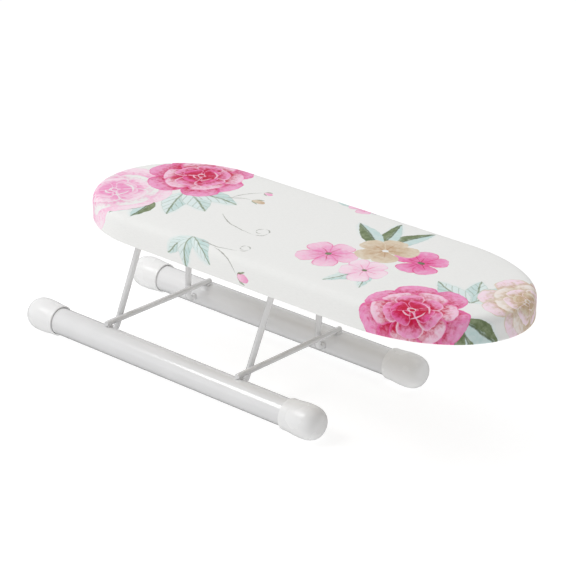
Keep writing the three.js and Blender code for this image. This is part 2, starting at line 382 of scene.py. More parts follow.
def white_plastic():
    """Moulded white plastic: softly glossy, a little see-through, with fine mould grain."""
    material, nodes, shader = new_material("cap_plastic")
    place = object_place(nodes)
    grain = nodes.noise(place, 2600, 2)
    cloud = nodes.noise(place, 60, 2)
    nodes.fill(shader, {
        "Base Color": nodes.mix(cloud, (0.87, 0.87, 0.865, 1), (0.92, 0.92, 0.92, 1)),
        "Roughness": nodes.smooth(cloud, 0.2, 0.8, 0.2, 0.3),
        "Normal": nodes.bump(grain, 0.012 * MM, 0.5),
        "Subsurface Weight": 0.15, "Subsurface Radius": (1, 1, 1), "Subsurface Scale": 1.5 * MM})
    return material


def zinc_steel():
    """Bright zinc plate: pale grey metal with faint spangle and drawn scratches."""
    material, nodes, shader = new_material("zinc_steel")
    place = object_place(nodes)
    spangle = nodes.add("ShaderNodeTexVoronoi", {"Vector": place, "Scale": 420.0})
    stretched = nodes.vector("MULTIPLY", place, (400.0, 6000.0, 400.0))
    scratch = nodes.noise(stretched, 1.0, 2)
    flakes = nodes.math("ADD", nodes.math("MULTIPLY", spangle.outputs["Color"], 0.5), 0.2)
    nodes.fill(shader, {
        "Base Color": nodes.mix(flakes, (0.58, 0.59, 0.61, 1), (0.78, 0.78, 0.78, 1)),
        "Roughness": nodes.smooth(scratch, 0.2, 0.8, 0.22, 0.42),
        "Normal": nodes.bump(scratch, 0.01 * MM, 0.5), "Metallic": 1})
    return material


def fibreboard():
    """Pale pressed fibreboard with short tangled fibres."""
    material, nodes, shader = new_material("fibreboard")
    place = object_place(nodes)
    fibres = nodes.noise(nodes.vector("MULTIPLY", place, (1.0, 2.5, 1.0)), 900, 4, 0.7)
    specks = nodes.noise(place, 2500, 2)
    patches = nodes.noise(place, 25, 3)
    base = nodes.mix(patches, (0.50, 0.45, 0.375, 1), (0.58, 0.53, 0.45, 1))
    marks = nodes.mix(nodes.smooth(fibres, 0.35, 0.7), base, (0.38, 0.33, 0.265, 1))
    nodes.fill(shader, {
        "Base Color": nodes.mix(nodes.smooth(specks, 0.62, 0.72), marks, (0.70, 0.66, 0.58, 1)),
        "Normal": nodes.bump(fibres, 0.05 * MM, 0.8), "Roughness": 0.78})
    return material


def foam_rubber():
    """Cream open-cell foam, with painted shade darkening it down into its cells."""
    material, nodes, shader = new_material("foam")
    cells = nodes.add("ShaderNodeTexVoronoi", {"Vector": object_place(nodes), "Scale": 1400.0})
    depth = nodes.smooth(cells.outputs["Distance"], 0.1, 0.6)
    # the colour darkens as the cells go deeper: painted shade in the pits, from the same value that
    # gives the bump
    nodes.fill(shader, {
        "Base Color": nodes.mix(depth, (0.85, 0.78, 0.58, 1), (0.62, 0.54, 0.36, 1)),
        "Normal": nodes.bump(depth, 0.3 * MM, 1.0), "Roughness": 0.95})
    return material


def knitted_elastic():
    """White braided elastic, ribbed along its length, with painted shade in the grooves between its
    ribs.
    """
    material, nodes, shader = new_material("elastic")
    ribs = nodes.add("ShaderNodeTexWave", {"Vector": object_place(nodes), "Scale": 900.0,
                                           "Distortion": 2.0}).outputs["Fac"]
    # the colour darkens down into the grooves between the ribs: painted shade, from the same value that
    # gives the bump
    nodes.fill(shader, {
        "Base Color": nodes.mix(ribs, (0.70, 0.69, 0.66, 1), (0.86, 0.85, 0.83, 1)),
        "Normal": nodes.bump(ribs, 0.15 * MM), "Roughness": 0.85})
    return material


# ---- The printed cotton
def tone(code):
    """A colour from its usual six digits, as linear light."""
    parts = [int(code[i:i + 2], 16) / 255 for i in (0, 2, 4)]
    return tuple(((c + 0.055) / 1.055) ** 2.4 if c > 0.04045 else c / 12.92 for c in parts) + (1,)


CLOTH = tone("f1f1ef")
CREAM = tone("f6ece6")
BLUSH = tone("fae3ee")
PALE = tone("f8cfe3")
PINK = tone("f19fca")
ROSE = tone("ea6ba8")
CERISE = tone("e23a80")
CRIMSON = tone("cb1449")
MIST = tone("e2eeed")
SKY = tone("cde1df")
SAGE = tone("a9b6a2")
MOSS = tone("7d8b68")
FOREST = tone("616d4e")
TAN = tone("e0d1bb")
SAND = tone("d0b698")
BROWN = tone("b98d6c")
STALK = tone("b0b0aa")
THREAD_PITCH = 0.5  # millimetres between threads of the weave
WANDER = 4.0  # how many millimetres the print's outlines wander by
PETAL_BLUR, LEAF_BLUR = 0.8, 0.7  # how many millimetres their edges fade over

# Half widths along a shape, from its base at 0 to its tip at 1.
PETAL = ((0, 0), (0.03, 0.2), (0.3, 0.68), (0.62, 1), (0.84, 0.9), (0.96, 0.5), (1, 0))
ROUND = ((0, 0), (0.04, 0.4), (0.2, 0.8), (0.5, 1), (0.8, 0.8), (0.96, 0.4), (1, 0))
LEAF = ((0, 0), (0.08, 0.3), (0.3, 0.9), (0.45, 1), (0.7, 0.72), (0.9, 0.28), (1, 0))
LINE = ((0, 0), (0.05, 0.6), (0.3, 1), (0.7, 0.8), (0.95, 0.4), (1, 0))


class Print:
    """Paints flat shapes over one another, in the cloth's own plane, in millimetres."""

    def __init__(self, nodes, place, brush, colour):
        self.nodes = nodes
        self.place = place  # the point on the cloth, as (x, y, 1)
        self.brush = brush  # uneven brush marks, from 0 to 1
        self.colour = colour  # what is painted so far

    def across(self, base, tip, width):
        """How far the point is along a shape, from 0 to 1, and across it, from -1 to 1."""
        dx, dy = tip[0] - base[0], tip[1] - base[1]
        length = math.hypot(dx, dy)

        def measure(x, y):
            line = (x, y, -x * base[0] - y * base[1])
            return self.nodes.vector("DOT_PRODUCT", self.place, line, output=1)

        return (measure(dx / length ** 2, dy / length ** 2),
                measure(-dy / length * 2 / width, dx / length * 2 / width))

    def curve(self, value, points):
        node = self.nodes.add("ShaderNodeFloatCurve")
        self.nodes.put(value, node.inputs["Value"])
        line = node.mapping.curves[0]
        while len(line.points) < len(points):
            line.points.new(0.5, 0.5)
        for point, (x, y) in zip(line.points, points):
            point.location = (x, y)
        node.mapping.update()
        return node.outputs[0]

    def outline(self, base, tip, width, profile, bend):
        """The place along and across a shape, and the distance in from its outline."""
        nodes = self.nodes
        along, side = self.across(base, tip, width)
        if bend:
            arch = nodes.math("SUBTRACT", along, nodes.math("MULTIPLY", along, along))
            side = nodes.math("MULTIPLY_ADD", arch, -8 * bend / width, side)
        half = self.curve(along, profile)
        inside = nodes.math("SUBTRACT", half, nodes.math("ABSOLUTE", side))
        return along, side, inside

    def lay(self, mask, colour):
        self.colour = self.nodes.mix(mask, self.colour, colour)

    def petal(self, base, tip, width, tones, bend=0.0, rim=0.35, profile=PETAL, fade=(0.5, 1.25)):
        """tones are at the base, at the tip and along the rim. fade is where base turns to tip."""
        nodes = self.nodes
        along, _, inside = self.outline(base, tip, width, profile, bend)
        marks = nodes.math("MULTIPLY_ADD", self.brush, 0.7, along)
        body = nodes.mix(nodes.smooth(marks, *fade), tones[0], tones[1])
        body = nodes.mix(nodes.smooth(inside, rim, 0.02), body, tones[2])
        self.lay(nodes.smooth(inside, 0, 2 * PETAL_BLUR / width), body)

    def stroke(self, base, tip, width, colour, bend=0.0, soft=0.5, lit=1.0, profile=LINE):
        _, _, inside = self.outline(base, tip, width, profile, bend)
        self.lay(self.nodes.smooth(inside, 0, 2 * soft / width, 0, lit), colour)

    def wash(self, base, tip, width, colour, lit=1.0):
        """A soft-edged patch of thin colour."""
        self.stroke(base, tip, width, colour, soft=0.3 * width, lit=lit, profile=ROUND)

    def leaf(self, base, tip, width, tones, bend, ribs):
        """tones are its light half, its dark half and its veins."""
        nodes = self.nodes
        along, side, inside = self.outline(base, tip, width, LEAF, bend)
        shade = nodes.math("MULTIPLY_ADD", self.brush, 0.5, side)
        body = nodes.mix(nodes.smooth(shade, 0.1, 0.45), tones[0], tones[1])
        spread = nodes.math("ABSOLUTE", side)
        veins = nodes.smooth(spread, 0.12, 0.03, 0, 0.8)
        if ribs:
            rows = nodes.math("MULTIPLY_ADD", spread, -0.35 * ribs,
                              nodes.math("MULTIPLY", along, ribs))
            saw = nodes.math("ABSOLUTE", nodes.math("SUBTRACT", nodes.math("FRACT", rows), 0.5))
            veins = nodes.math("MAXIMUM", nodes.smooth(saw, 0.13, 0.02, 0, 0.4), veins)
        rim = nodes.smooth(inside, 0.1, 0.0, 0, 0.6)
        body = nodes.mix(nodes.math("MAXIMUM", veins, rim), body, tones[2])
        self.lay(nodes.smooth(inside, 0, 2 * LEAF_BLUR / width), body)

    def dot(self, centre, size, colour):
        half = size / 2
        self.stroke((centre[0] - half, centre[1]), (centre[0] + half, centre[1]), size, colour,
                    soft=1, profile=ROUND)


# The print is a generic flower design. Its blooms, leaves and stalks are drawn by these formulas, and
# none of them is taken from the photographed fabric's drawing.
ROSE_TONES = (PALE, PINK, ROSE, CRIMSON)
PALE_TONES = (CLOTH, BLUSH, PALE, PINK)
WARM_TONES = (CREAM, BLUSH, TAN, SAND)
ROSE_RINGS = (  # petals, reach, width, and the tones at their base, tip and rim
    (7, 1.0, 0.78, (3, 1, 2)),
    (6, 0.78, 0.68, (3, 0, 2)),
    (5, 0.56, 0.54, (3, 1, 0)),
    (4, 0.36, 0.4, (3, 2, 1)),
)
GREY_LEAF = (MIST, SKY, MOSS)
GREEN_LEAF = (SKY, MOSS, FOREST)


def around(centre, reach, degrees):
    """The point at this distance and bearing from a centre."""
    angle = math.radians(degrees)
    return centre[0] + reach * math.cos(angle), centre[1] + reach * math.sin(angle)


def rose(art, centre, size, turn, tones, seed):
    """Rings of petals that close towards a heart of short arcs."""
    draw = random.Random(seed)
    for ring, (count, reach, width, picks) in enumerate(ROSE_RINGS):
        for i in range(count):
            bearing = turn + 25 * ring + 360 * i / count + draw.uniform(-9, 9)
            art.petal(around(centre, 0.06 * size, bearing),
                      around(centre, reach * size * draw.uniform(0.9, 1.06), bearing),
                      width * size * draw.uniform(0.9, 1.1), [tones[k] for k in picks],
                      bend=0.05 * size * draw.uniform(-1, 1), rim=0.22, fade=(0.82, 1.28))
    for i in range(7):
        reach, bearing = (0.3 - 0.035 * i) * size, turn + 140 * i
        art.stroke(around(centre, reach, bearing), around(centre, reach, bearing + 95),
                   0.05 * size, tones[3 if i % 2 else 0], bend=-0.3 * reach, soft=0.7, lit=0.85)
    art.dot(centre, 0.12 * size, tones[3])


def blossom(art, centre, size, turn, tones, lines, heart, seed):
    """Five open petals with fine lines out of a small heart."""
    draw = random.Random(seed)
    bearings = [turn + 72 * i + draw.uniform(-7, 7) for i in range(5)]
    for bearing in bearings:
        art.petal(around(centre, 0.06 * size, bearing),
                  around(centre, size * draw.uniform(0.9, 1.08), bearing), 0.86 * size, tones,
                  bend=draw.uniform(-1, 1), rim=0.2)
    for bearing in bearings:
        art.stroke(centre, around(centre, 0.6 * size, bearing), 1.6, lines, soft=0.7, lit=0.7)
    art.dot(centre, 0.24 * size, heart)


def leaves(art, root, length, bearings, tones, seed, ribs=5, width=0.42):
    """Leaves out of one root, each on a wash of thin colour."""
    draw = random.Random(seed)
    for bearing in bearings:
        tip = around(root, length * draw.uniform(0.85, 1.1), bearing)
        art.wash(root, tip, 1.1 * width * length, MIST, lit=0.8)
        art.leaf(root, tip, width * length * draw.uniform(0.85, 1.1), tones,
                 bend=draw.uniform(-3, 3), ribs=ribs)


def bud(art, root, tip, size, tones):
    """A closed bud on a stalk, between two sepals."""
    art.stroke(root, tip, 1.5, STALK, bend=3)
    for side, tone in ((-1, SAGE), (1, MOSS)):
        art.stroke(tip, (tip[0] + 0.7 * size, tip[1] + 0.4 * side * size), 2.2, tone, bend=side)
    art.petal(tip, (tip[0] + size, tip[1]), 0.6 * size, tones, profile=ROUND)


def tendril(art, start, centre, size):
    """A thin line that runs to a curl round a centre."""
    spots = [around(centre, size * (1 - 0.14 * i), 100 * i - 90) for i in range(5)]
    art.stroke(start, spots[0], 1.5, STALK, bend=-0.1 * math.dist(start, spots[0]))
    for i, (here, there) in enumerate(zip(spots, spots[1:])):
        art.stroke(here, there, 1.5, STALK, bend=-0.32 * size * (1 - 0.14 * i))


# Each painting is one node group, because one long chain of nodes is too much for the shader.
PAINTINGS = {
    "left_leaves": ((leaves, (-108, 2), 52, (-62, -28, 4), GREY_LEAF, "left grey"),
                    (leaves, (-112, -30), 44, (-75, -108), GREEN_LEAF, "left green", 0)),
    "left_bloom": ((rose, (-152, -34), 50, 20, PALE_TONES, "left bloom"),),
    "left_rose": ((rose, (-122, 34), 44, 0, ROSE_TONES, "left rose"),),
    "buds": ((bud, (-74, 8), (-54, 22), 12, (TAN, SAND, BROWN)),
             (bud, (-70, 14), (-58, 40), 9, (PALE, PINK, ROSE)),
             (tendril, (-52, -14), (-4, -22), 8)),
    "front_sprig": ((leaves, (-36, -62), 34, (-130, -88, -40), GREY_LEAF, "front sprig"),
                    (tendril, (-30, -62), (8, -54), 6),
                    (bud, (-12, -66), (18, -84), 11, (PALE, PINK, ROSE))),
    "spray_leaves": ((leaves, (84, 14), 52, (76, 112, 148), GREEN_LEAF, "spray back", 0, 0.34),
                     (leaves, (104, -24), 36, (-62, -112), GREY_LEAF, "spray front", 5, 0.36)),
    "spray_pink": ((blossom, (62, -20), 23, 10, (PINK, PALE, ROSE), CRIMSON, MOSS, "pink one"),
                   (blossom, (124, 12), 22, 40, (ROSE, PINK, CERISE), CRIMSON, FOREST, "pink two")),
    "spray_tan": ((blossom, (102, -26), 20, 5, (PALE, BLUSH, PINK), ROSE, MOSS, "pale one"),
                  (blossom, (90, 12), 24, 24, (SAND, TAN, TAN), BROWN, CLOTH, "tan one")),
    "right_leaves": ((leaves, (196, -20), 46, (118, 160, 80), GREY_LEAF, "right grey"),
                     (leaves, (204, -44), 42, (-20, -64, 22), GREEN_LEAF, "right green", 0)),
    "right_bloom": ((rose, (222, 14), 36, 50, WARM_TONES, "right bloom"),),
    "right_rose": ((rose, (172, -56), 42, 15, ROSE_TONES, "right rose"),),
    "rear_sprig": ((leaves, (20, 66), 36, (30, 160, 95), GREY_LEAF, "rear sprig"),
                   (blossom, (22, 72), 15, 0, (PINK, PALE, ROSE), CRIMSON, MOSS, "rear one")),
}


def painting_group(title, motifs):
    """A node group that lays one painting over the colour that comes in."""
    group = bpy.data.node_groups.new(f"paint_{title}", "ShaderNodeTree")
    for name, kind in (("Place", "Vector"), ("Brush", "Float"), ("Cloth", "Color")):
        group.interface.new_socket(name, in_out="INPUT", socket_type=f"NodeSocket{kind}")
    group.interface.new_socket("Print", in_out="OUTPUT", socket_type="NodeSocketColor")
    nodes = Nodes(group)
    given = nodes.add("NodeGroupInput").outputs
    art = Print(nodes, given["Place"], given["Brush"], given["Cloth"])
    for draw_motif, *details in motifs:
        draw_motif(art, *details)
    nodes.add("NodeGroupOutput", {"Print": art.colour})
    return group


def printed_cotton():
    """White cotton with a printed flower design, woven plain."""
    material, nodes, shader = new_material("printed_cotton")
    cloth = nodes.add("ShaderNodeAttribute", attribute_name="cloth_place").outputs["Vector"]
    wander = nodes.noise(cloth, 0.09, 5, 0.62, output="Color")
    parts = nodes.add("ShaderNodeSeparateXYZ", {0: cloth})
    shift = nodes.add("ShaderNodeSeparateColor", {0: wander})
    flat = nodes.add("ShaderNodeCombineXYZ", {"Z": 1.0})
    for i, key in enumerate("XY"):
        moved = nodes.math("MULTIPLY_ADD", shift.outputs[i], WANDER, parts.outputs[i])
        nodes.put(nodes.math("SUBTRACT", moved, WANDER / 2), flat.inputs[key])
    brush = nodes.noise(cloth, 0.3, 3, 0.6)
    dye = CLOTH
    for painting in PAINTINGS.items():
        layer = nodes.tree.nodes.new("ShaderNodeGroup")
        layer.node_tree = painting_group(*painting)
        nodes.fill(layer, {"Place": flat.outputs[0], "Brush": brush, "Cloth": dye})
        dye = layer.outputs["Print"]
    pools = nodes.noise(flat.outputs[0], 0.22, 4, 0.65)
    strength = nodes.smooth(pools, 0.3, 0.7, 0.75, 1.25)
    share = nodes.mix(1.0, dye, CLOTH, blend="DIVIDE")
    deepened = nodes.add("ShaderNodeGamma", {"Color": share, "Gamma": strength}).outputs[0]
    dye = nodes.mix(1.0, deepened, CLOTH, blend="MULTIPLY")

    threads = [nodes.math("SINE", nodes.math("MULTIPLY", parts.outputs[i], 2 * math.pi / THREAD_PITCH))
               for i in (0, 1)]
    weave = nodes.math("MULTIPLY", *threads)
    slubs = nodes.noise(nodes.vector("MULTIPLY", cloth, (0.25, 2.0, 1.0)), 1.0, 2)
    creases = nodes.noise(cloth, 0.035, 2)
    shade = nodes.smooth(slubs, 0.3, 0.7, 0.965, 1.0)
    colour = nodes.mix(1.0, dye, nodes.grey(shade), blend="MULTIPLY")
    nodes.put(colour, shader.inputs["Base Color"])
    height = nodes.math("MULTIPLY_ADD", weave, 0.25, slubs)
    fine = nodes.bump(height, 0.05 * MM, 0.5)
    nodes.fill(shader, {
        "Normal": nodes.bump(creases, 0.5 * MM, 0.35, under=fine),
        "Roughness": nodes.smooth(slubs, 0.3, 0.7, 0.7, 0.82),
        "Sheen Weight": 0.12, "Sheen Roughness": 0.4, "Specular IOR Level": 0.25})
    return material


# ---- Foot frame
SIDES = {"front": -1, "rear": 1}
ENDS = {"left": -1, "right": 1}

TUBE_WALL = 1.2 * MM
HOLE_CLEARANCE = 0.3 * MM
HOLE_REACH = 4 * MM  # how far a leg's hole is cut to each side of the tube's wall
CAP_BORE_GAP = 0.3 * MM
CAP_LIP = 0.9 * MM
CAP_BREAK = 0.4 * MM  # the broken edge at the mouth of the bore
CAP_HOLLOW = 8 * MM  # the radius of the hollow past the tube's end
CAP_END_WALL = 3.5 * MM
CAP_SHOULDER = 0.56  # where the rounded end starts, as a share of the length
CAP_BLUNT = (0.62, 0.78)  # powers below 1 make the end blunter than a quarter of an ellipse
WIRE_BEND = 6 * MM
WELD_LENGTH, WELD_RADIUS = 5.4 * MM, 1.15 * MM
LEG_FOOT_HALF_WIDTH = 41.9 * MM
LEG_LEAN = 0.214  # how far a leg moves towards +X as it rises
LEG_SPLAY = 0.186  # how far each wire moves inwards as it rises


def middle(node):
    low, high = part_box(node)
    return (low + high) / 2


def make_tube(side):
    """A hollow tube with softly broken ends and a round hole in its inner wall for each leg."""
    name = f"foot_tube_{side}"
    low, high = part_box(name)
    centre, radius = middle(name), (high.z - low.z) / 2
    inner, chamfer = radius - TUBE_WALL, 0.3 * MM
    length = high.x - low.x
    profile = [(inner, length - chamfer), (inner, chamfer), (inner + chamfer, 0), (radius - chamfer, 0)]
    profile += [(radius, chamfer + (length - 2 * chamfer) * k / 24) for k in range(25)]
    profile += [(radius - chamfer, length), (inner + chamfer, length), (inner, length - chamfer)]
    tube = lathe(f"{name}_shell", profile, ((low.x, centre.y, centre.z), (1, 0, 0)))
    drills = []
    for leg in ENDS:
        foot_low, foot_high = leg_foot(leg)
        wire = (foot_high - foot_low) / 2
        wall_y = centre.y - SIDES[side] * (radius - TUBE_WALL / 2)
        start = ((foot_low + foot_high) / 2, wall_y - HOLE_REACH, centre.z)
        drills.append(drill(wire + HOLE_CLEARANCE, 2 * HOLE_REACH, start, (0, 1, 0), 32))
    cut_away(tube, drills)
    sharpen(tube)
    finish_piece(tube, "feet", "frame_paint", name)


def leg_foot(leg):
    """Lowest and highest x of a leg's foot, where its wire lies along Y inside the tubes."""
    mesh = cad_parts[f"leg_wire_{leg}"].data
    height = middle("foot_tube_front").z
    xs = [v.co.x for v in mesh.vertices if abs(v.co.y) > 50 * MM and abs(v.co.z - height) < 4 * MM]
    return min(xs), max(xs)


def make_cap(side, end):
    """A moulded cup with a rounded lip, a swelling side and a blunt rounded end."""
    name = f"end_cap_{side}_{end}"
    low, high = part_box(name)
    centre, radius, length = middle(name), (high.z - low.z) / 2, high.x - low.x
    out = ENDS[end]
    rim_x = low.x if out > 0 else high.x
    tube_low, tube_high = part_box(f"foot_tube_{side}")
    bore = (tube_high.z - tube_low.z) / 2 + CAP_BORE_GAP
    reach = abs((tube_high.x if out > 0 else tube_low.x) - rim_x) + CAP_BORE_GAP
    rim, lip = radius - CAP_LIP, CAP_LIP
    floor = length - CAP_END_WALL
    profile = [(0, floor), (CAP_HOLLOW, floor), (CAP_HOLLOW, reach), (bore, reach),
               (bore, CAP_BREAK), (bore + CAP_BREAK, 0)]
    profile += [(rim - lip + lip * sine, lip - lip * cosine) for sine, cosine in quarter(6)]
    swell_start, swell_end = 0.1 * length, 0.5 * length
    for t in (k / 12 for k in range(1, 13)):
        swell = t * t * (3 - 2 * t)
        profile.append((rim + (radius - rim) * swell, swell_start + (swell_end - swell_start) * t))
    shoulder = CAP_SHOULDER * length
    profile += [(radius * cosine ** CAP_BLUNT[0], shoulder + (length - shoulder) * sine ** CAP_BLUNT[1])
                for sine, cosine in quarter(30)]
    cap = lathe(f"{name}_moulding", profile, ((rim_x, centre.y, centre.z), (out, 0, 0)))
    sharpen(cap)
    finish_piece(cap, "feet", "cap_plastic", name)


def make_crossbar(end):
    """A round rod with broken edges at its cut ends, and the weld beads that hold it."""
    name = f"crossbar_{end}"
    low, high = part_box(name)
    centre, radius = middle(name), (high.x - low.x) / 2
    edge, length = 0.35 * MM, high.y - low.y
    profile = [(0, 0), (radius - edge, 0)]
    profile += [(radius, edge + (length - 2 * edge) * k / 12) for k in range(13)]
    profile += [(radius - edge, length), (0, length)]
    bar = lathe(f"{name}_rod", profile, ((centre.x, low.y, centre.z), (0, 1, 0)), 32)
    sharpen(bar)
    finish_piece(bar, "feet", "frame_paint", name)
    swell = [(0.35 + 0.65 * math.sin(math.pi * (k + 0.5) / 15) ** 0.6) * (1 + 0.09 * math.sin(2.4 * k))
             for k in range(15)]
    for side, sign in SIDES.items():
        tube, tube_top = middle(f"foot_tube_{side}"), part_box(f"foot_tube_{side}")[1].z
        for where, offset in (("a", -1), ("b", 1)):
            spots = []
            for k in range(15):
                y = sign * (high.y - 0.6 * MM - WELD_LENGTH * (k / 14))
                drop = math.sqrt((tube_top - tube.z) ** 2 - (y - tube.y) ** 2)
                spots.append((centre.x + offset * 1.75 * MM, y, (tube.z + drop + low.z + 0.7 * MM) / 2))
            bead = bead_along(f"weld_{end}_{side}_{where}", spots, WELD_RADIUS, swell)
            finish_piece(bead, "feet", "frame_paint")


def bead_along(name, spots, radius, swell):
    spots = [Vector(p) for p in spots]
    rings = []
    for point, ahead, share in zip(spots, directions(spots), swell):
        side = ahead.cross(UP).normalized()
        up = side.cross(ahead)
        size = radius * share
        rings.append(np.array([point + side * x * size + up * y * size for x, y in circle(1, 16)]))
    bead = loft(name, rings)
    bead.modifiers.new("round", "SUBSURF").levels = 1
    apply_modifiers(bead)
    bead.data.shade_smooth()
    return bead


# ---- Legs
def rounded_path(corners, bend, steps=14):
    """Points along straight lines between corners, each inner corner rounded by a true arc."""
    corners = [Vector(c) for c in corners]
    path = [corners[0]]
    for before, corner, after in zip(corners, corners[1:], corners[2:]):
        back, ahead = (before - corner).normalized(), (after - corner).normalized()
        half = back.angle(ahead) / 2
        reach = bend / math.tan(half)
        centre = corner + (back + ahead).normalized() * (bend / math.sin(half))
        start, finish = corner + back * reach, corner + ahead * reach
        sweep_angle = math.pi - 2 * half
        axis = (start - centre).cross(finish - centre).normalized()
        for k in range(steps + 1):
            turn = Matrix.Rotation(sweep_angle * k / steps, 3, axis)
            path.append(centre + turn @ (start - centre))
    path.append(corners[-1])
    return path


def subdivide_path(path, longest):
    fine = [path[0]]
    for start, finish in zip(path, path[1:]):
        count = max(1, round((finish - start).length / longest))
        fine += [start.lerp(finish, k / count) for k in range(1, count + 1)]
    return fine


def make_leg(end):
    name = f"leg_wire_{end}"
    low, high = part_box(name)
    foot = sum(leg_foot(end)) / 2
    foot_z = middle("foot_tube_front").z
    radius = foot_z - low.z
    top_z = high.z - radius
    rise = top_z - foot_z
    top_x = foot + LEG_LEAN * rise
    top_y = LEG_FOOT_HALF_WIDTH - LEG_SPLAY * rise
    half = [(foot, high.y, foot_z), (foot, LEG_FOOT_HALF_WIDTH, foot_z), (top_x, top_y, top_z)]
    other = [(x, -y, z) for x, y, z in reversed(half)]
    path = subdivide_path(rounded_path(half + other, WIRE_BEND), 4 * MM)
    wire = sweep(f"{name}_rod", path, radius, 28)
    finish_piece(wire, f"leg_{end}", "frame_paint", name)


# ---- Panel and pad
BOARD_CLEANING = (2e-6, 1e-6)  # how close points are joined, and how flat faces are dropped


def slab_rings(count, low_z, high_z, inset, bottom_edge, top_edge, crown=0.0):
    """Rings of a board-shaped slab from the middle of its underside, round its edge, to its top."""
    rings = []

    def ring(share, extra, z):
        edge = outline(count, inset + extra)[0]
        middle_line = spine(edge)
        rings.append(level(middle_line + (edge - middle_line) * share, z))

    for share in (0.0, 0.35, 0.7):
        ring(share, bottom_edge, low_z)
    for sine, cosine in quarter(4):
        ring(1, bottom_edge * (1 - sine), low_z + bottom_edge * (1 - cosine))
    for sine, cosine in quarter(8):
        ring(1, top_edge * (1 - cosine), high_z - crown - top_edge * (1 - sine))
    for share in (0.85, 0.6, 0.3, 0.0):
        ring(share, top_edge, high_z - crown * share ** 2)
    return rings


def spine(edge):
    """The point of the board's middle line that each point of its edge belongs to."""
    return np.column_stack([np.clip(edge[:, 0], LEFT_CENTRE, RIGHT_CENTRE), np.zeros(len(edge))])


def board_loft(name, rings, closed_rows=False):
    """A surface through rings that follow the board's outline and may meet in its middle line."""
    faces = loft_faces(len(rings), len(rings[0]), closed_rows)
    piece = new_piece(name, np.concatenate(rings), faces)
    clean_mesh(piece, *BOARD_CLEANING)
    return piece


def make_panel():
    inset = PANEL_LOW.x - COVER_LOW.x
    rings = slab_rings(320, PANEL_LOW.z, PANEL_HIGH.z, inset, 0.6 * MM, 0.6 * MM)
    panel = board_loft("board_panel_core", rings)
    screws = [middle(name) for name in SCREWS]
    cut_away(panel, [drill(SCREW_HOLE, 9 * MM, (at.x, at.y, PANEL_LOW.z - 1.5 * MM)) for at in screws])
    sharpen(panel, 50)
    finish_piece(panel, "board", "fibreboard", "board_panel")


def make_pad():
    inset = PAD_LOW.x - COVER_LOW.x
    rings = slab_rings(320, PAD_LOW.z, PAD_HIGH.z, inset, 0.5 * MM, 5 * MM, crown=0.5 * MM)
    pad = board_loft("foam_pad_slab", rings)
    pad.data.shade_smooth()
    finish_piece(pad, "board", "foam", "foam_pad")


# ---- Cover
COVER_COLUMNS = 640
COVER_FOLD = 4  # fine columns to each column of the simulated cage
CLOTH_THICKNESS = 0.5 * MM
TOP_ROUND = 7 * MM
CROWN = 0.5 * MM
HEM_ROUND = 1.8 * MM
HEM_INSET = 21.4 * MM
GATHERS = 84
ELASTIC_INSETS, ELASTIC_THICKNESS = (20.3 * MM, 25.2 * MM), 0.6 * MM
THREAD_RADIUS = 0.13 * MM
SETTLE_FRAMES = 20
PAD_PRESSURE = 5
SOFT_HOLD = 0.15
MOST_SWELL = 0.8 * MM
PRINT_DROP = 0.9  # how fast the print runs on, down the side of the board


def gather_wave(at, total):
    """The height of the gathers round the hem, from -1 to 1, fuller round the ends."""
    turn = 2 * math.pi * at / total
    phase = GATHERS * turn + 1.6 * np.sin(5 * turn + 1) + 1.1 * np.sin(13 * turn + 2)
    wave = 0.75 * np.sin(phase) + 0.25 * np.sin(2 * phase + 1.3 * np.sin(7 * turn))
    return wave * (0.75 + 0.25 * np.sin(9 * turn) * np.sin(4 * turn + 1))


def hem_height(inset, wave):
    """The height of the cloth's outer face under the board."""
    along = np.clip((inset - 3 * MM) / (HEM_INSET - 3 * MM), 0, 1)
    grown = along * along * (3 - 2 * along)
    return COVER_LOW.z - 0.4 * MM * grown + 0.45 * MM * grown * wave


def cover_profile():
    """Rows of (share of the way out, inset, height) down from the middle line to the hem.

    The rows under the board have no height of their own, because the gathers give it.
    """
    top = COVER_HIGH.z
    rows = [(share, TOP_ROUND, top - CROWN * share ** 2) for share in np.linspace(0, 1, 15)]
    for sine, cosine in quarter(10, first=1):
        rows.append((1, TOP_ROUND * (1 - sine), top - CROWN - TOP_ROUND * (1 - cosine)))
    low_start = COVER_LOW.z + HEM_ROUND
    high_start = top - CROWN - TOP_ROUND
    for k in range(1, 7):
        t = k / 7
        rows.append((1, 0.18 * MM * math.sin(math.pi * t) ** 2 * t,
                     high_start + (low_start - high_start) * t))
    rows += [(1, HEM_ROUND * (1 - cosine), low_start - HEM_ROUND * sine) for sine, cosine in quarter(6)]
    return rows + [(1, inset, None) for inset in np.linspace(HEM_ROUND, HEM_INSET, 12)[1:]]


def cover_grid():
    """The cover's outer face as rows of points, and each point's place on the flat cloth."""
    edge, normal, at, total = outline(COVER_COLUMNS)
    wave = gather_wave(at, total)
    grid, places = [], []
    side_start = COVER_LOW.z + HEM_ROUND
    for share, inset, height in cover_profile():
        inner = edge - normal * inset
        flat = spine(inner) + (inner - spine(inner)) * share
        z = hem_height(inset, wave) if height is None else np.full(len(edge), height)
        grid.append(np.column_stack([flat, z]))
        on_top = height is not None and height > side_start
        drop = COVER_HIGH.z - CROWN * share - (height if on_top else side_start)
        run_on = drop if on_top else drop + inset
        place = (flat if on_top else edge) + normal * run_on * PRINT_DROP * (share == 1)
        places.append(np.column_stack([place, np.zeros(len(edge))]) / MM)
    return np.array(grid), np.array(places)


def upsample(coarse, count):
    """Smoothly spreads values at every few columns over all columns of a closed row."""
    spectrum = np.fft.rfft(coarse, axis=1)
    wanted = np.zeros((spectrum.shape[0], count // 2 + 1, spectrum.shape[2]), complex)
    wanted[:, :spectrum.shape[1]] = spectrum
    return np.fft.irfft(wanted, n=count, axis=1) * (count / coarse.shape[1])


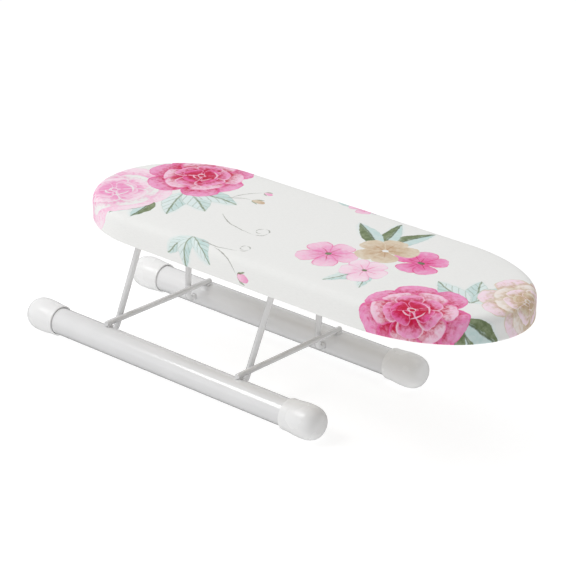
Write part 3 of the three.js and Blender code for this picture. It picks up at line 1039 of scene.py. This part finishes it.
def settle(grid):
    """Lets the pad push the cloth out, on a coarse cage with its turned-in hem held still."""
    cage = grid[:, ::COVER_FOLD]
    rows, columns = cage.shape[:2]
    cage = cage.reshape(-1, 3)
    helper = new_piece("cloth_cage", cage, loft_faces(rows, columns))
    clean_mesh(helper, 0.1 * MM, 0.01 * MM)
    start = np.array([tuple(v.co) for v in helper.data.vertices])
    group = helper.vertex_groups.new(name="held")
    lowest_free = COVER_LOW.z + 3 * MM
    group.add([i for i, p in enumerate(start) if p[2] < lowest_free], 1.0, "REPLACE")
    group.add([i for i, p in enumerate(start) if p[2] >= lowest_free], SOFT_HOLD, "REPLACE")
    cloth = helper.modifiers.new("cloth", "CLOTH")
    for key, value in {
            "quality": 6, "mass": 0.2, "tension_stiffness": 12, "compression_stiffness": 12,
            "bending_stiffness": 0.8, "vertex_group_mass": "held", "use_pressure": True,
            "uniform_pressure_force": PAD_PRESSURE}.items():
        setattr(cloth.settings, key, value)
    cloth.settings.effector_weights.gravity = 0
    cloth.collision_settings.use_collision = False
    cloth.point_cache.frame_start, cloth.point_cache.frame_end = 1, SETTLE_FRAMES
    scene = bpy.context.scene
    for moment in range(1, SETTLE_FRAMES + 1):
        scene.frame_set(moment)
    graph = bpy.context.evaluated_depsgraph_get()
    settled = helper.evaluated_get(graph).to_mesh()
    coords = np.zeros(len(settled.vertices) * 3)
    settled.vertices.foreach_get("co", coords)
    moved = coords.reshape(-1, 3) - start
    scene.frame_set(1)
    bpy.data.objects.remove(helper)
    near = KDTree(len(start))
    for i, point in enumerate(start):
        near.insert(point, i)
    near.balance()
    moved = np.array([moved[near.find(point)[1]] for point in cage]).reshape(rows, columns, 3)
    size = np.linalg.norm(moved, axis=2, keepdims=True)
    moved *= MOST_SWELL * np.tanh(size / MOST_SWELL) / np.maximum(size, 1e-9)
    return upsample(moved, grid.shape[1])


def make_cover():
    grid, places = cover_grid()
    grid = grid + settle(grid)
    rows, columns = grid.shape[:2]
    cover = new_piece("fabric_cover_cloth", grid.reshape(-1, 3), loft_faces(rows, columns))
    attribute = cover.data.attributes.new("cloth_place", "FLOAT_VECTOR", "POINT")
    attribute.data.foreach_set("vector", places.reshape(-1))
    clean_mesh(cover, *BOARD_CLEANING)
    thick = cover.modifiers.new("thickness", "SOLIDIFY")
    thick.thickness = CLOTH_THICKNESS
    thick.offset = -1
    apply_modifiers(cover)
    cover.data.shade_smooth()
    finish_piece(cover, "board", "printed_cotton", "fabric_cover")


def make_elastic():
    """The flat elastic sewn inside the hem's edge, rising and falling with the gathers."""
    edge, normal, at, total = outline(COVER_COLUMNS)
    base = hem_height(HEM_INSET, gather_wave(at, total)) + CLOTH_THICKNESS + 0.05 * MM
    first, last = ELASTIC_INSETS
    section = [(first, 0)] + [(first + (last - first) * k / 6, ELASTIC_THICKNESS) for k in range(7)]
    section += [(last - (last - first) * k / 6, 0) for k in range(6)]
    rings = [np.column_stack([edge - normal * inset, base + lift]) for inset, lift in section]
    elastic = board_loft("hem_elastic_band", rings, closed_rows=True)
    sharpen(elastic, 60)
    finish_piece(elastic, "board", "elastic", "hem_elastic")


def make_stitching():
    """A zigzag of white thread that sews the elastic to the hem."""
    count = 1280
    edge, normal, at, total = outline(count)
    wave = gather_wave(at, total)
    zigzag = np.abs((np.arange(count) % 8) / 4 - 1)
    inset = 20.6 * MM + 1.5 * MM * zigzag
    on_cloth = np.clip((HEM_INSET - inset) / (0.3 * MM), 0, 1)
    under_cloth = hem_height(np.minimum(inset, HEM_INSET), wave) - 0.08 * MM
    under_elastic = hem_height(HEM_INSET, wave) + CLOTH_THICKNESS - 0.05 * MM
    line = np.column_stack([edge - normal * inset[:, None],
                            on_cloth * under_cloth + (1 - on_cloth) * under_elastic])
    ahead = np.roll(line, -1, axis=0) - np.roll(line, 1, axis=0)
    ahead /= np.linalg.norm(ahead, axis=1)[:, None]
    side = np.cross(ahead, [0, 0, 1.0])
    side /= np.linalg.norm(side, axis=1)[:, None]
    up = np.cross(side, ahead)
    rings = [line + side * x + up * y for x, y in circle(THREAD_RADIUS, 5)]
    thread = board_loft("hem_stitching", rings, closed_rows=True)
    thread.data.shade_smooth()
    finish_piece(thread, "board", "elastic")


# ---- Clips and screws
CLIPS = [f"pivot_clip_{end}_{side}" for end in ENDS for side in SIDES]
SCREWS = [f"clip_screw_{end}_{side}_{i}" for end in ENDS for side in SIDES for i in (1, 2)]
CLIP_THICKNESS = 1.2 * MM
CLIP_CORNER = 2.5 * MM
CLIP_HOLLOW = 2.8 * MM  # the radius of the bend round the wire
SCREW_HOLE = 1.8 * MM


def make_clip(name):
    """A strap with rounded corners, bent round the wire and flat at both ends."""
    low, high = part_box(name)
    centre = middle(name)
    half_length, width = (high.x - low.x) / 2, high.y - low.y
    ear = high.z - CLIP_THICKNESS / 2
    wire_z = high.z - CLIP_HOLLOW
    wrap = CLIP_HOLLOW + CLIP_THICKNESS / 2
    crease = 1.1 * MM
    line = [(-half_length + t * MM, ear) for t in (0, 0.15, 0.5, 1, 1.7, 2.5, 4, 6)]
    line.append((-wrap - crease, ear))
    line += [(-wrap - crease + crease * math.sin(a), ear - crease + crease * math.cos(a))
             for a in np.linspace(0.3, math.pi / 2, 5)]
    line += [(-wrap * math.cos(a), wire_z - wrap * math.sin(a))
             for a in np.linspace(0.0, math.pi, 25) if wire_z - wrap * math.sin(a) < ear - crease]
    line += [(-x, z) for x, z in reversed(line[:14])]
    line = [Vector((x, 0, z)) for x, z in line]
    travelled = [0.0]
    for a, b in zip(line, line[1:]):
        travelled.append(travelled[-1] + (b - a).length)
    rings = []
    edge = 0.2 * MM
    for point, ahead, gone in zip(line, directions(line), travelled):
        out = Vector((ahead.z, 0, -ahead.x))
        from_end = min(gone, travelled[-1] - gone)
        short = max(CLIP_CORNER - from_end, 0)
        pull = CLIP_CORNER - math.sqrt(max(CLIP_CORNER ** 2 - short ** 2, 0))
        half, thick = width / 2 - min(pull, CLIP_CORNER), CLIP_THICKNESS / 2
        corner = [(-half + edge, -thick), (half - edge, -thick), (half, -thick + edge),
                  (half, thick - edge)]
        section = corner + [(-y, -t) for y, t in corner]
        rings.append(np.array([Vector((centre.x, centre.y, 0)) + point + Vector((0, y, 0)) + out * t
                               for y, t in section]))
    clip = loft(f"{name}_strap", rings)
    own = name.replace("pivot_clip", "clip_screw")
    screws = [middle(screw) for screw in SCREWS if screw.startswith(own)]
    cut_away(clip, [drill(SCREW_HOLE, 4 * MM, (at.x, at.y, ear - 2 * MM)) for at in screws])
    sharpen(clip, 30)
    finish_piece(clip, "board", "zinc_steel", name)


def make_screw(name):
    """A pan-head screw with a cross recess and a threaded shank."""
    low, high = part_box(name)
    centre = middle(name)
    head, shank, head_height = 3 * MM, 1.5 * MM, 1.6 * MM
    profile = [(0, 0)]
    profile += [(head * sine ** 0.8, 0.75 * head_height * (1 - cosine))
                for sine, cosine in quarter(8, first=1)]
    profile += [(head, head_height - 0.15 * MM), (head - 0.15 * MM, head_height), (shank, head_height)]
    turns, total = 8, high.z - low.z
    first, last = head_height + 0.4 * MM, total - 1.6 * MM
    root, step = shank - 0.35 * MM, (last - first) / turns
    for k in range(turns):
        z = first + (last - first) * k / turns
        profile += [(root, z), (root, z + 0.4 * step), (shank, z + 0.7 * step)]
    profile += [(root, last), (0, total)]
    screw = lathe(f"{name}_body", profile, ((centre.x, centre.y, low.z), (0, 0, 1)), 40)
    half_long, half_wide, depth = 1.7 * MM, 0.36 * MM, 0.95 * MM
    box_faces = [(0, 3, 2, 1), (4, 5, 6, 7), (0, 1, 5, 4), (1, 2, 6, 5), (2, 3, 7, 6), (3, 0, 4, 7)]
    tools = []
    for turn in (0.6, math.pi / 2 + 0.6):
        corners = []
        for z, share in ((-0.3 * MM, 1.0), (depth, 0.55)):
            for x, y in SQUARE:
                x, y = x * half_long * share, y * half_wide * (0.5 + 0.5 * share)
                corners.append((centre.x + x * math.cos(turn) - y * math.sin(turn),
                                centre.y + x * math.sin(turn) + y * math.cos(turn), low.z + z))
        tools.append(new_piece("tool", corners, box_faces))
    cut_away(screw, tools)
    sharpen(screw, 30)
    finish_piece(screw, "board", "zinc_steel", name)


# ---- Putting it together
def finish_piece(piece, body, finish, *nodes):
    piece.data.materials.clear()
    piece.data.materials.append(FINISHES[finish])
    if nodes:
        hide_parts(*nodes)
    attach(piece, body)


add_camera()
add_studio()
FINISHES = {
    "frame_paint": white_paint(),
    "cap_plastic": white_plastic(),
    "zinc_steel": zinc_steel(),
    "fibreboard": fibreboard(),
    "foam": foam_rubber(),
    "elastic": knitted_elastic(),
    "printed_cotton": printed_cotton(),
}
for side_name in SIDES:
    make_tube(side_name)
    for end_name in ENDS:
        make_cap(side_name, end_name)
for end_name in ENDS:
    make_crossbar(end_name)
    make_leg(end_name)
make_panel()
make_pad()
make_cover()
make_elastic()
make_stitching()
for clip_name in CLIPS:
    make_clip(clip_name)
for screw_name in SCREWS:
    make_screw(screw_name)
